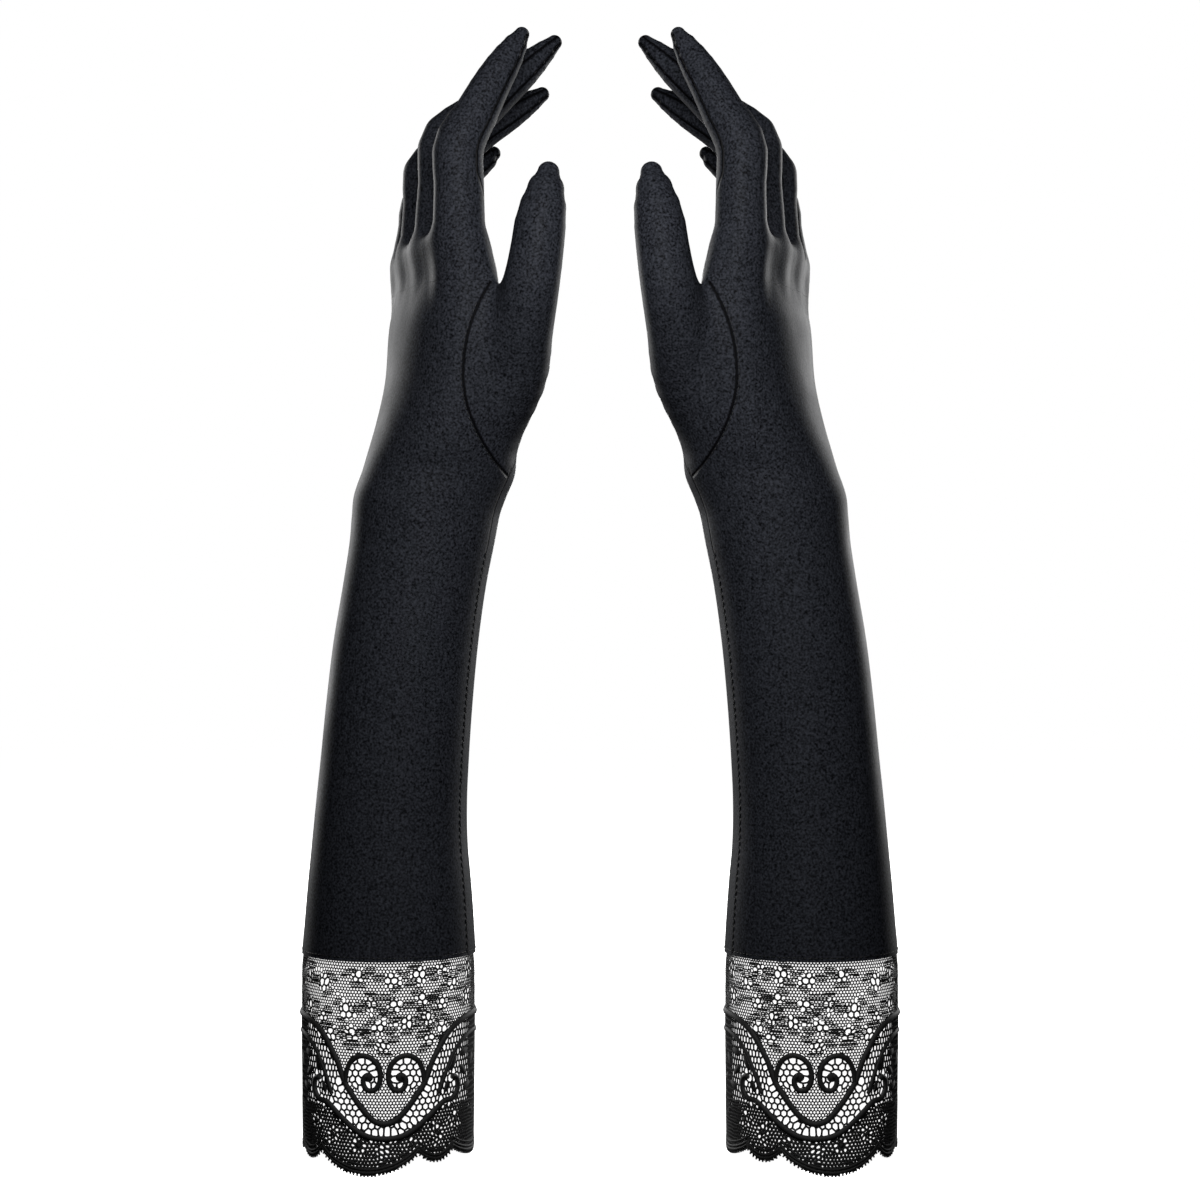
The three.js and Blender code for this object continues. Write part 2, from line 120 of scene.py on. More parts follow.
# The thumb from the ball to the tip: place and radius.
THUMB = (
    ((-54.0, 2.0, 284.0), 18.0),
    ((-44.0, -7.0, 299.0), 16.5),
    (tuple(THUMB_ROOT), 14.0),
    ((-30.0, -28.0, 329.0), 11.9),
    ((-26.8, -35.7, 343.3), 11.0),
    ((-24.3, -37.6, 358.0), 10.3),
    ((-22.6, -37.7, 371.0), 9.6),
    ((-21.8, -37.2, 375.8), 8.75),
    ((-21.1, -36.7, 380.4), 7.55),
    ((-20.5, -35.8, 384.6), 6.1),
    ((-19.9, -34.9, 388.4), 4.3),
)


def through(table, heights):
    """Smooth values between the rows of a table, read at the given heights."""
    rows = np.array(table, dtype=float)
    at = rows[:, 0]
    slopes = np.gradient(rows[:, 1:], at, axis=0)
    low = np.clip(np.searchsorted(at, heights) - 1, 0, len(at) - 2)
    span = (at[low + 1] - at[low])[:, None]
    t = np.clip((heights - at[low])[:, None] / span, 0, 1)
    start, end = rows[low, 1:], rows[low + 1, 1:]
    ease = t * t * (3 - 2 * t)
    return (start + (end - start) * ease
            + span * (t * (1 - t) ** 2 * slopes[low] - t * t * (1 - t) * slopes[low + 1]))


def arm_and_palm_rows():
    """Height, centre x, centre y, half thickness, half breadth, squareness."""
    rows = [(z, x, WRIST[1], r, r, 2.0) for z, x, r in FOREARM]
    for z, palm, across, thick, broad, square in HAND:
        x, y, _ = WRIST + palm * PALM + across * ACROSS
        rows.append((WRIST[2] + z, x, y, thick, broad, square))
    return rows


ARM_AND_PALM = arm_and_palm_rows()


def fillet(a, b, size):
    """Two skins joined by a fillet of about the given size."""
    share = np.clip(0.5 + 0.5 * (b - a) / size, 0, 1)
    return b + (a - b) * share - size * share * (1 - share)


def arm_and_palm(points):
    rows = through(ARM_AND_PALM, points[:, 2])
    x = points[:, 0] - rows[:, 0]
    y = points[:, 1] - rows[:, 1]
    u = np.abs(x * PALM[0] + y * PALM[1]) + 1e-6
    v = np.abs(x * ACROSS[0] + y * ACROSS[1]) + 1e-6
    square = rows[:, 4]
    size = ((u / rows[:, 2]) ** square + (v / rows[:, 3]) ** square) ** (1 / square)
    return np.hypot(u, v) * (1 - 1 / size)


def bone(points, a, b, radius_a, radius_b):
    """Distance to a tapered bone with round ends."""
    run = b - a
    t = np.clip((points - a) @ run / (run @ run), 0, 1)
    off = points - a - t[:, None] * run
    return np.sqrt((off * off).sum(axis=1)) - (radius_a + (radius_b - radius_a) * t)


def lean(degrees):
    angle = math.radians(degrees)
    return math.sin(angle) * PALM + np.array([0, 0, math.cos(angle)])


def run_through(places, steps):
    """A smooth run of places and radii through a few given ones."""
    nodes = np.array([(*place, radius) for place, radius in places])
    along = np.concatenate([[0], np.cumsum(np.linalg.norm(np.diff(nodes[:, :3], axis=0), axis=1))])
    table = np.column_stack([along, nodes])
    rows = through(table, np.linspace(0, along[-1], steps))
    return [(row[:3], row[3]) for row in rows]


def finger_chain(name):
    """Places and half thicknesses from inside the palm to the fingertip."""
    (middle_length, middle_lean), (end_length, end_lean), sizes, _ = FINGER_BONES[name]
    knuckle = joint_place(f"left_{name}_knuckle")
    middle = joint_place(f"left_{name}_middle_joint")
    end = middle + middle_length * lean(middle_lean)
    reach = (end_length - FINGERTIP) * lean(end_lean)
    return run_through((
        (knuckle - np.array([0, 0, 25.0]), sizes[0] - 2.5),
        (knuckle, sizes[0]),
        (knuckle + 0.6 * (middle - knuckle), (sizes[0] + sizes[1]) / 2 - 0.2),
        (middle, sizes[1]),
        (middle + 0.5 * (end - middle), (sizes[1] + sizes[2]) / 2 - 0.1),
        (end, sizes[2]),
        (end + 0.5 * reach, sizes[2] - 1.3),
        (end + 0.85 * reach, FINGERTIP + 0.9),
        (end + reach, FINGERTIP - 0.3),
    ), 22)


CHAINS = {name: finger_chain(name) for name in FINGERS}
THUMB_CHAIN = run_through(THUMB, 18)


def swept(points, chain):
    """Distance to a skin swept along a run of places and radii."""
    shape = np.full(len(points), 1e9)
    for (a, radius_a), (b, radius_b) in zip(chain, chain[1:]):
        shape = np.minimum(shape, bone(points, a, b, radius_a, radius_b))
    return shape


def finger(points, name):
    chain = CHAINS[name]
    spread = (points @ ACROSS - chain[1][0] @ ACROSS) * (FINGER_SLIMNESS - 1)
    return swept(points + spread[:, None] * ACROSS, chain)


def thumb(points):
    return swept(points, THUMB_CHAIN)


def palm_with_top(points):
    """The arm and palm, closed along the webs between the fingers."""
    across = points @ ACROSS - WRIST @ ACROSS
    top = points[:, 2] - (367.0 - np.clip(across - 8, 0, 40) * 0.22)
    return -fillet(-arm_and_palm(points), -top, 7.0)


def hand_skin(points):
    """Distance outside the skin of the left glove."""
    result = np.empty(len(points))
    low = points[:, 2] < 255
    result[low] = arm_and_palm(points[low])
    high = points[~low]
    body = palm_with_top(high)
    with_thumb = fillet(body, thumb(high), THUMB_FILLET)
    shape = with_thumb.copy()
    fingers = high[:, 2] > 320
    for name in FINGERS:
        joined = fillet(with_thumb[fingers], finger(high[fingers], name), WEB_FILLET)
        shape[fingers] = np.minimum(shape[fingers], joined)
    result[~low] = shape
    return result


def slope(points, step=0.35):
    """Outward direction of the skin at each point."""
    direction = np.empty_like(points)
    for axis in range(3):
        shift = np.zeros(3)
        shift[axis] = step
        direction[:, axis] = hand_skin(points + shift) - hand_skin(points - shift)
    return direction / (2 * step)


def knit_skin():
    """The skin as a net of small quads: points, outward directions, faces."""
    low = np.array([-126.0, -56.0, HEM_HEIGHT - 2])
    high = np.array([-6.0, 56.0, 458.0])
    coarse = 4
    cells = np.ceil((high - low) / (WEAVE_STEP * coarse)).astype(int) + 1
    grids = np.meshgrid(*[low[i] + WEAVE_STEP * (coarse * np.arange(cells[i]) + (coarse - 1) / 2)
                          for i in range(3)], indexing="ij")
    rough = hand_skin(np.stack([g.ravel() for g in grids], axis=1)).reshape(cells)
    field = rough.repeat(coarse, 0).repeat(coarse, 1).repeat(coarse, 2)
    near = np.argwhere(np.abs(field) < 6.0)
    field = np.clip(field, -6.0, 6.0).astype(np.float32)
    for start in range(0, len(near), 400000):
        some = near[start:start + 400000]
        field[tuple(some.T)] = hand_skin(low + WEAVE_STEP * some)
    grid = openvdb.FloatGrid()
    grid.copyFromArray(field)
    points, quads = grid.convertToQuads(isovalue=0.0)
    points = low + WEAVE_STEP * points.astype(float)
    for _ in range(3):
        direction = slope(points)
        length2 = (direction * direction).sum(axis=1)
        points -= direction * (hand_skin(points) / np.maximum(length2, 0.2))[:, None]
    direction = slope(points)
    direction /= np.linalg.norm(direction, axis=1)[:, None]
    return points, direction, quads.astype(int)


# ---------------------------------------------------------------- seams
SIDE_SEAM_TURN = 68.0    # degrees round from the front, towards the thumb side
SIDE_SEAM_TOP = 276.0
OVAL_MIDDLE = 311.0
OVAL_TOP = 344.0
WRIST_CUT = 276.0        # the sleeve panel ends here and the hand panels begin
NO_SEAM = 6.0           # the mark of a point that is far from any seam
STALL_CUT = 0.62        # how far up its first bone a finger stall is divided
WEB_RISE = 2.5          # a finger's own panel starts this far above the web


def oval_edge(heights):
    """How far across the front the thumb panel begins."""
    bend = np.where(heights < OVAL_MIDDLE, 0.0109, 0.0083)
    return -52.9 + bend * (heights - OVAL_MIDDLE) ** 2


def oval_back(heights):
    """How far back the thumb panel runs over the palm."""
    bend = np.where(heights < OVAL_MIDDLE, 0.007, 0.021)
    return 3.0 - bend * (heights - OVAL_MIDDLE) ** 2


def thumb_seam(points):
    """Distance inside the oval thumb panel, measured along the cloth."""
    x, y, z = points.T
    front_slope = oval_edge(z + 0.5) - oval_edge(z - 0.5)
    back_slope = oval_back(z + 0.5) - oval_back(z - 0.5)
    front = (x - oval_edge(z)) / np.hypot(1, front_slope)
    back = (oval_back(z) - y) / np.hypot(1, back_slope)
    inside = np.minimum(front, back)
    return np.where(z > OVAL_TOP + 3, NO_SEAM, np.clip(inside, -NO_SEAM, NO_SEAM))


def side_seam(points):
    """Distance past the long seam of the arm, positive towards the back."""
    rows = through(ARM_AND_PALM, points[:, 2])
    x = points[:, 0] - rows[:, 0]
    y = points[:, 1] - rows[:, 1]
    past = np.degrees(np.arctan2(x, -y)) - SIDE_SEAM_TURN
    distance = np.radians(past) * rows[:, 2]
    above = np.maximum(points[:, 2] - SIDE_SEAM_TOP, 0)
    return np.clip(distance + np.sign(distance) * above, -NO_SEAM, NO_SEAM)


def finger_seam(points, name):
    """Zero along the seams between a finger's panels and its side strips."""
    chain = CHAINS[name]
    best = np.full(len(points), 1e9)
    seam = np.zeros(len(points))
    for (a, radius_a), (b, radius_b) in zip(chain, chain[1:]):
        run = b - a
        t = np.clip((points - a) @ run / (run @ run), 0, 1)
        off = points - a - t[:, None] * run
        radius = radius_a + (radius_b - radius_a) * t
        distance = np.sqrt((off * off).sum(axis=1)) - radius
        direction = run / np.linalg.norm(run)
        inward = np.cross(ACROSS, direction)
        palmward = off @ inward
        beside = off @ ACROSS / radius
        palm_side = 0.55 + (0.6 * np.clip((389 - points[:, 2]) / 14, 0, 1) if name == "index" else 0)
        front = palmward - palm_side * radius
        both = front * (palmward + 0.45 * radius) / radius
        one_seam = np.clip((-beside - 0.25) * 3, 0, 1) if name == "index" else 0.0
        value = both * (1 - one_seam) + front * one_seam
        nearer = distance < best
        best = np.where(nearer, distance, best)
        seam = np.where(nearer, value, seam)
    return np.clip(seam, -NO_SEAM, NO_SEAM)


# ---------------------------------------------------------------- pieces
def mirrored(points):
    """The same places on the right glove."""
    return points * np.array([-1.0, 1.0, 1.0])


def new_piece(name, points, faces, material, directions=None, marks=None):
    """A mesh from points in millimetres, with its shading directions and marks."""
    mesh = bpy.data.meshes.new(name)
    mesh.from_pydata((points * MM).tolist(), [], [tuple(f) for f in faces])
    mesh.polygons.foreach_set("use_smooth", np.ones(len(mesh.polygons), dtype=bool))
    for mark, values in (marks or {}).items():
        layer = mesh.attributes.new(mark, "FLOAT", "POINT")
        layer.data.foreach_set("value", values.astype(np.float32))
    if directions is not None:
        mesh.normals_split_custom_set_from_vertices(directions.tolist())
    mesh.materials.append(material)
    piece = bpy.data.objects.new(name, mesh)
    bpy.context.scene.collection.objects.link(piece)
    return piece


def cut_panel(side, name, skin, chosen, marks, material):
    """One panel of the skin, for the left or the right glove."""
    points, directions, faces = skin
    used, kept = np.unique(faces[chosen], return_inverse=True)
    panel = kept.reshape(-1, 4)
    place, direction = points[used], directions[used]
    if side == "right":
        place, direction = mirrored(place), mirrored(direction)
        panel = panel[:, ::-1]
    chosen_marks = {mark: values[used] for mark, values in marks.items()}
    piece = new_piece(f"{side}_{name}", place, panel, material, direction, chosen_marks)
    return piece


# ---------------------------------------------------------------- lace cuff
# The cuff is two repeats of one galloon lace, each half the way round. A place on it
# is how far round from the middle of the heart and how high, in millimetres.
CUFF_CENTRE = np.array([-84.6, WRIST[1]])
CUFF_RADIUS = ((0.0, 33.6), (29.0, 34.0), (58.0, 34.3), (78.0, 34.2), (90.0, 33.0))
CUFF_TOP = 86.0
HEART_TURN = 1.7            # degrees from the front to the middle of the heart
LACE_RADIUS = 34.7
REPEAT = math.pi * LACE_RADIUS
SCALLOP_START = -45.5
SCALLOPS = ((70.0, 0.0), (27.5, 4.5), (55.0, 4.5), (27.5, 4.5))
NOTCH_HEIGHT = 9.0

# The thick cord from the side arch down to the point of the heart.
HEART_CORD = ((54.6, 59.3), (43.3, 59.6), (35.1, 58.2), (29.7, 55.8), (25.7, 52.4),
              (22.7, 48.3), (19.7, 43.8), (17.9, 39.4), (16.2, 35.6), (13.2, 31.4),
              (10.5, 27.9), (7.3, 24.2), (3.9, 21.3), (0.0, 20.3), (-1.5, 20.4))
# The scroll above the point of the heart, from the cord round to its eye.
SCROLL_CORD = ((16.2, 35.6), (15.6, 40.2), (13.4, 44.5), (9.4, 46.7), (5.5, 45.9),
               (2.7, 43.2), (1.6, 39.4), (2.1, 35.8), (4.1, 33.4), (6.6, 33.3),
               (8.3, 35.4), (8.2, 38.0), (6.6, 39.4))
# The lower arc under the heart, curling up at the side.
ARC_CORD = ((-1.5, 14.4), (0.0, 14.4), (6.4, 15.2), (12.2, 18.0), (16.6, 21.2), (20.8, 24.4),
            (25.6, 27.6), (30.6, 28.4), (33.4, 31.8), (32.6, 35.8), (29.4, 37.0))
SIDE_CORD = ((54.6, 52.0), (45.0, 52.6), (37.0, 50.6), (31.6, 46.8), (27.6, 41.0),
             (24.6, 35.2), (22.6, 30.6))
FINE_PITCH, OPEN_PITCH, CLOSE_PITCH, SIDE_PITCH = 1.34, 2.6, 1.55, 1.75
VINES = (((-11.0, 66.4), (-6.0, 63.0), (0.0, 61.2), (5.0, 58.8), (10.5, 58.4), (15.0, 60.8),
          (20.0, 61.4), (25.0, 58.6)),
         ((-46.0, 78.0), (-38.0, 77.0), (-30.0, 79.0), (-22.0, 72.0), (-17.0, 68.0)),
         ((26.0, 79.0), (33.0, 77.0), (40.0, 78.5), (48.0, 80.5)))
SIDE_LEAVES = ((30.6, 42.2, 3.6, 1.7, 60), (38.0, 45.4, 3.6, 1.7, 10), (37.4, 38.4, 3.4, 1.6, -35),
               (44.8, 41.6, 3.6, 1.7, 50), (27.0, 33.2, 2.6, 1.3, 70), (51.4, 45.2, 3.4, 1.6, 0),
               (40.6, 32.0, 3.4, 1.6, 20), (48.6, 34.0, 3.2, 1.6, -30))
ROSETTES = ((10.6, 11.6, 2.5), (22.5, 15.4, 2.4), (32.0, 19.5, 2.6), (45.5, 21.5, 2.8),
            (54.0, 14.5, 2.4))


def lace_edge(turn):
    """Height of the scalloped edge, at degrees round from the front."""
    into = (np.asarray(turn) - SCALLOP_START) % 180
    height = np.full(np.shape(into), NOTCH_HEIGHT)
    begin = 0.0
    for width, low in SCALLOPS:
        share = (into - begin) / width
        inside = (share >= 0) & (share <= 1)
        drop = np.sin(np.pi * np.clip(share, 0, 1)) ** 0.7
        height = np.where(inside, NOTCH_HEIGHT - (NOTCH_HEIGHT - low) * drop, height)
        begin += width
    return height


def on_cuff(flat, lift=0.0):
    """Lace places, round and high, laid on the cuff; also the way out of the cloth."""
    turn = np.radians(np.degrees(flat[:, 0] / LACE_RADIUS) + HEART_TURN)
    out = np.column_stack([np.sin(turn), -np.cos(turn), np.zeros(len(turn))])
    radius = np.interp(flat[:, 1], *np.array(CUFF_RADIUS).T) + lift
    places = out * radius[:, None]
    places[:, :2] += CUFF_CENTRE
    places[:, 2] = flat[:, 1]
    return places, out


def scattered_flowers():
    """Open flowers and closely woven leaves in the fine net, kept apart."""
    rng = np.random.default_rng(11)
    flowers, leaves = [], []
    for _ in range(600):
        u, z = rng.uniform(-REPEAT / 2 + 4, REPEAT / 2 - 4), rng.uniform(50, 80)
        size = rng.uniform(2.2, 3.6)
        if z - size < height_of(HEART_CORD, abs(u)) + 2 or math.hypot(abs(u) - 8.7, z - 40) < 13:
            continue
        if all(math.hypot(u - f[0], z - f[1]) > size + f[2] + 2.2 for f in flowers):
            flowers.append((u, z, size))
            for petal in range(3):
                turn = rng.uniform(0, math.tau) if petal == 0 else turn + math.tau / 3
                reach = size + 1.6
                leaf_z = z + 0.8 * reach * math.sin(turn)
                if leaf_z > height_of(HEART_CORD, abs(u)) + 2 and leaf_z < CUFF_TOP - 2:
                    leaves.append((u + 1.2 * reach * math.cos(turn), leaf_z,
                                   rng.uniform(2.6, 4.2), rng.uniform(1.2, 2.0),
                                   rng.uniform(-35, 35)))
    return flowers, leaves


def height_of(cord, across):
    """Height of a cord's outline above a place across."""
    table = np.array(sorted(cord))
    return np.interp(across, table[:, 0], table[:, 1])


def in_ellipse(flat, shape):
    """Below 1 inside a turned ellipse: middle, half length, half width, degrees."""
    u, z, length, width, turn = shape
    angle = math.radians(turn)
    x, y = flat[:, 0] - u, flat[:, 1] - z
    along = x * math.cos(angle) + y * math.sin(angle)
    beside = y * math.cos(angle) - x * math.sin(angle)
    return (along / length) ** 2 + (beside / width) ** 2


def smooth_cord(cord, spacing=0.6):
    """Evenly spaced places along a cord."""
    nodes = np.array(cord, dtype=float)
    along = np.concatenate([[0], np.cumsum(np.hypot(*np.diff(nodes, axis=0).T))])
    table = np.column_stack([along, nodes])
    return through(table, np.arange(0, along[-1] + spacing / 2, spacing))


FLOWERS, LEAVES = scattered_flowers()


def net_zone(flat):
    """0 fine net, 1 open net, 2 close net by the edge, 3 drawn-out net at the sides."""
    u, z = np.abs(flat[:, 0]), flat[:, 1]
    fine = z > height_of(HEART_CORD, u)
    scroll = ((u - 8.7) / 6.9) ** 2 + ((z - 40.0) / 7.0) ** 2 < 1
    arc = height_of(ARC_CORD[:7], u)
    below_arc = np.where(u < 25.6, z < arc, z < 26.0)
    side = (u > 20.5) & (z > 22.0)
    zone = np.where(fine & ~scroll, 0, np.where(below_arc, 2, np.where(side, 3, 1)))
    flowers = [in_ellipse(flat, (*flower, flower[2], 0)) < 1 for flower in FLOWERS]
    return np.where(np.any(flowers, axis=0) & (zone == 0), 1, zone)


def spaced(seeds, others, gap):
    """The seeds that keep a gap from the others."""
    if not len(others):
        return seeds
    keep = np.ones(len(seeds), dtype=bool)
    for start in range(0, len(seeds), 2000):
        some = seeds[start:start + 2000]
        far = np.hypot(some[:, None, 0] - others[None, :, 0],
                       some[:, None, 1] - others[None, :, 1])
        keep[start:start + 2000] = far.min(axis=1) > gap
    return seeds[keep]


def holes_of_the_net():
    """The middle of every hole in one repeat of the lace."""
    rng = np.random.default_rng(7)
    half = REPEAT / 2
    cords = np.vstack([smooth_cord(cord) for cord in (HEART_CORD, SCROLL_CORD, ARC_CORD)])
    cords = np.vstack([cords, cords * [-1, 1]])
    chosen = []
    for u, z, size in ROSETTES:
        turns = np.arange(8) * math.tau / 8
        ring = np.column_stack([u + size * np.cos(turns), z + size * np.sin(turns)])
        chosen += [ring, ring * [-1, 1]]
    for vine in VINES:
        chosen.append(smooth_cord(vine, 1.75))
    for rung in range(4):
        chosen.append(np.array([[-1.3, 5.2 + 2.1 * rung], [1.3, 5.2 + 2.1 * rung]]))
    special = np.vstack(chosen)
    seeds = special
    for zone, pitch, stretch, play in ((1, OPEN_PITCH, 0.866, 0.08), (3, SIDE_PITCH, 1.4, 0.12),
                                       (2, CLOSE_PITCH, 0.866, 0.2), (0, FINE_PITCH, 0.866, 0.05)):
        rows = []
        for number, z in enumerate(np.arange(-3.0, CUFF_TOP + 2, pitch * stretch)):
            u = np.arange(-half - 8, half + 8, pitch) + (pitch / 2) * (number % 2)
            rows.append(np.column_stack([u, np.full(len(u), z)]))
        lattice = np.vstack(rows)
        lattice += rng.uniform(-play, play, lattice.shape) * pitch
        wrapped = lattice.copy()
        wrapped[:, 0] = (wrapped[:, 0] + half) % REPEAT - half
        lattice = lattice[net_zone(wrapped) == zone]
        lattice = lattice[(np.abs(lattice[:, 0]) <= half)]
        lattice = spaced(lattice, cords, 0.42 * pitch)
        lattice = spaced(lattice, seeds, 0.72 * pitch)
        seeds = np.vstack([seeds, lattice])
    return seeds


def threads_of_the_net(holes):
    """Threads between neighbouring holes: start, end and zone, in one repeat."""
    half = REPEAT / 2
    left = holes[holes[:, 0] > half - 7] - [REPEAT, 0]
    right = holes[holes[:, 0] < 7 - half] + [REPEAT, 0]
    spread = np.vstack([holes, left, right])
    found = delaunay_2d_cdt([Vector(p) for p in spread.tolist()], [], [], 0, 1e-5)
    places = np.array([tuple(v) for v in found[0]])
    triangles = np.array([f for f in found[2] if len(f) == 3])
    middle = places[triangles].mean(axis=1)
    sides = np.sort(np.concatenate([triangles[:, [0, 1]], triangles[:, [1, 2]],
                                    triangles[:, [2, 0]]]), axis=1)
    owner = np.tile(np.arange(len(triangles)), 3)
    order = np.lexsort((sides[:, 1], sides[:, 0]))
    sides, owner = sides[order], owner[order]
    same = np.flatnonzero((sides[1:] == sides[:-1]).all(axis=1))
    start, end = middle[owner[same]], middle[owner[same + 1]]
    centre = (start + end) / 2
    length = np.hypot(*(end - start).T)
    keep = (np.abs(centre[:, 0]) <= half) & (length > 0.05) & (length < 6)
    return start[keep], end[keep], net_zone(centre[keep])


def tubes(start, end, out, radius, sides, flatness=1.0):
    """Thin threads from start to end: their points and faces."""
    run = end - start
    run /= np.maximum(np.linalg.norm(run, axis=1), 1e-9)[:, None]
    beside = np.cross(run, out)
    beside /= np.maximum(np.linalg.norm(beside, axis=1), 1e-9)[:, None]
    lift = np.cross(beside, run)
    turns = np.arange(sides) * math.tau / sides + math.pi / 2
    ring = (np.cos(turns)[None, :, None] * beside[:, None]
            + flatness * np.sin(turns)[None, :, None] * lift[:, None]) * radius[:, None, None]
    points = np.concatenate([start[:, None] + ring, end[:, None] + ring], axis=1).reshape(-1, 3)
    first = np.arange(len(start))[:, None] * (2 * sides)
    here = np.arange(sides)
    there = (here + 1) % sides
    faces = np.stack([first + here, first + there, first + there + sides,
                      first + here + sides], axis=2).reshape(-1, 4)
    return points, faces


def cord_tube(places, out, radius, sides=8, flatness=0.8):
    """One thick cord along a run of places, with closed ends."""
    run = np.gradient(places, axis=0)
    run /= np.linalg.norm(run, axis=1)[:, None]
    beside = np.cross(run, out)
    turns = np.arange(sides) * math.tau / sides
    ring = (np.cos(turns)[None, :, None] * beside[:, None]
            + flatness * np.sin(turns)[None, :, None] * out[:, None])
    size = np.full(len(places), radius)
    size[0] = size[-1] = 0.02
    points = (places[:, None] + ring * size[:, None, None]).reshape(-1, 3)
    rows = np.arange(len(places) - 1)[:, None] * sides
    here = np.arange(sides)
    there = (here + 1) % sides
    faces = np.stack([rows + here, rows + there, rows + there + sides,
                      rows + here + sides], axis=2).reshape(-1, 4)
    return points, faces


def leaf_pad(u, z, length, width, turn):
    """A closely woven leaf or disc: a thin pad that stands a little off the net."""
    angle = math.radians(turn)
    turns = np.arange(14) * math.tau / 14
    rings = []
    for share, lift in ((1.0, 0.0), (0.7, 0.34), (0.02, 0.42)):
        x, y = length * share * np.cos(turns), width * share * np.sin(turns)
        flat = np.column_stack([u + x * math.cos(angle) - y * math.sin(angle),
                                z + x * math.sin(angle) + y * math.cos(angle)])
        rings.append((flat, lift))
    return rings


def gather(parts):
    """Several sets of points and faces as one."""
    points, faces, count = [], [], 0
    for part_points, part_faces in parts:
        points.append(part_points)
        faces.append(part_faces + count)
        count += len(part_points)
    return np.vstack(points), np.vstack(faces)


NET_START, NET_END, NET_ZONE = threads_of_the_net(holes_of_the_net())
PICOT_PITCH = 1.45
THREAD_RADIUS = np.array([0.31, 0.48, 0.66, 0.52])


def lace_repeat(shift):
    """The net, cords, pads and edge of one repeat, on the left cuff."""
    start = NET_START + [shift, 0]
    end = NET_END + [shift, 0]
    centre = (start + end) / 2
    turn = np.degrees(centre[:, 0] / LACE_RADIUS) + HEART_TURN
    keep = (centre[:, 1] > lace_edge(turn) + 0.2) & (centre[:, 1] < CUFF_TOP)
    start, out = on_cuff(start[keep])
    end, _ = on_cuff(end[keep])
    net = tubes(start, end, out, THREAD_RADIUS[NET_ZONE[keep]], 3, 0.6)

    parts = []
    for cord, radius in ((HEART_CORD, 1.25), (SCROLL_CORD, 1.1), (ARC_CORD, 1.2),
                         (SIDE_CORD, 0.9)):
        for way in (1, -1):
            flat = smooth_cord(cord) * [way, 1] + [shift, 0]
            parts.append(cord_tube(*on_cuff(flat, 0.1), radius))
    around = np.arange(-REPEAT / 2, REPEAT / 2 + 0.2, 0.4) + shift
    turns = np.degrees(around / LACE_RADIUS) + HEART_TURN
    for lift, radius in ((1.2, 0.7), (2.5, 0.65), (4.4, 0.45)):
        flat = np.column_stack([around, lace_edge(turns) + lift])
        parts.append(cord_tube(*on_cuff(flat, 0.1), radius, 6))
    pads = [(u, z, size * 0.42, size * 0.42, 0) for u, z, size in ROSETTES]
    pads += [(6.5, 38.4, 2.1, 1.9, 0)]
    for u, z, length, width, lean_turn in pads + list(SIDE_LEAVES):
        for way in (1, -1):
            parts.append(pad_mesh(u * way + shift, z, length, width, lean_turn * way))
    for u, z, length, width, lean_turn in LEAVES:
        parts.append(lined_leaf(u + shift, z, length, width, lean_turn))
    parts.append(picots(shift))
    return net, gather(parts)


def pad_mesh(u, z, length, width, turn):
    """A leaf or disc pad laid on the cuff: its points and faces."""
    rings = [on_cuff(flat, lift)[0] for flat, lift in leaf_pad(u, z, length, width, turn)]
    under = on_cuff(leaf_pad(u, z, length, width, turn)[2][0], -0.1)[0]
    points = np.vstack([under, *rings])
    sides = len(rings[0])
    here = np.arange(sides)
    there = (here + 1) % sides
    faces = [np.column_stack([here + row, there + row, there + row + sides, here + row + sides])
             for row in range(0, 3 * sides, sides)]
    return points, np.vstack(faces)


def lined_leaf(u, z, length, width, turn):
    """A leaf in the fine net, filled with level threads."""
    starts, ends = [], []
    angle = math.radians(turn)
    for height in np.arange(-length, length, 0.72):
        across = np.linspace(-length, length, 121)
        x = across * math.cos(angle) + height * math.sin(angle)
        y = height * math.cos(angle) - across * math.sin(angle)
        inside = across[(x / length) ** 2 + (y / width) ** 2 < 1]
        if len(inside) > 3:
            cuts = np.linspace(inside[0], inside[-1], 6)
            starts += [(u + cut, z + height) for cut in cuts[:-1]]
            ends += [(u + cut, z + height) for cut in cuts[1:]]
    start, out = on_cuff(np.array(starts), 0.05)
    end, _ = on_cuff(np.array(ends), 0.05)
    return tubes(start, end, out, np.full(len(start), 0.24), 4)


def picots(shift):
    """The small loops of thread along the scalloped edge."""
    around = np.arange(-REPEAT / 2, REPEAT / 2, PICOT_PITCH) + shift
    turns = np.degrees(around / LACE_RADIUS) + HEART_TURN
    edge = lace_edge(turns)
    slope_here = np.gradient(edge, around)
    outward = np.column_stack([slope_here, -np.ones(len(around))])
    outward /= np.linalg.norm(outward, axis=1)[:, None]
    base = np.column_stack([around, edge + 1.1])
    parts = []
    for reach, size in ((0.0, 0.34), (0.5, 0.44), (1.0, 0.36)):
        start, out = on_cuff(base + reach * outward, 0.1)
        end, _ = on_cuff(base + (reach + 0.52) * outward, 0.1)
        parts.append(tubes(start, end, out, np.full(len(start), size), 5))
    return gather(parts)


# ---------------------------------------------------------------- materials
def srgb(code):
    """A hex colour as linear red, green, blue and alpha."""
    values = [int(code[i:i + 2], 16) / 255 for i in (1, 3, 5)]
    return tuple(v / 12.92 if v <= 0.04045 else ((v + 0.055) / 1.055) ** 2.4
                 for v in values) + (1.0,)


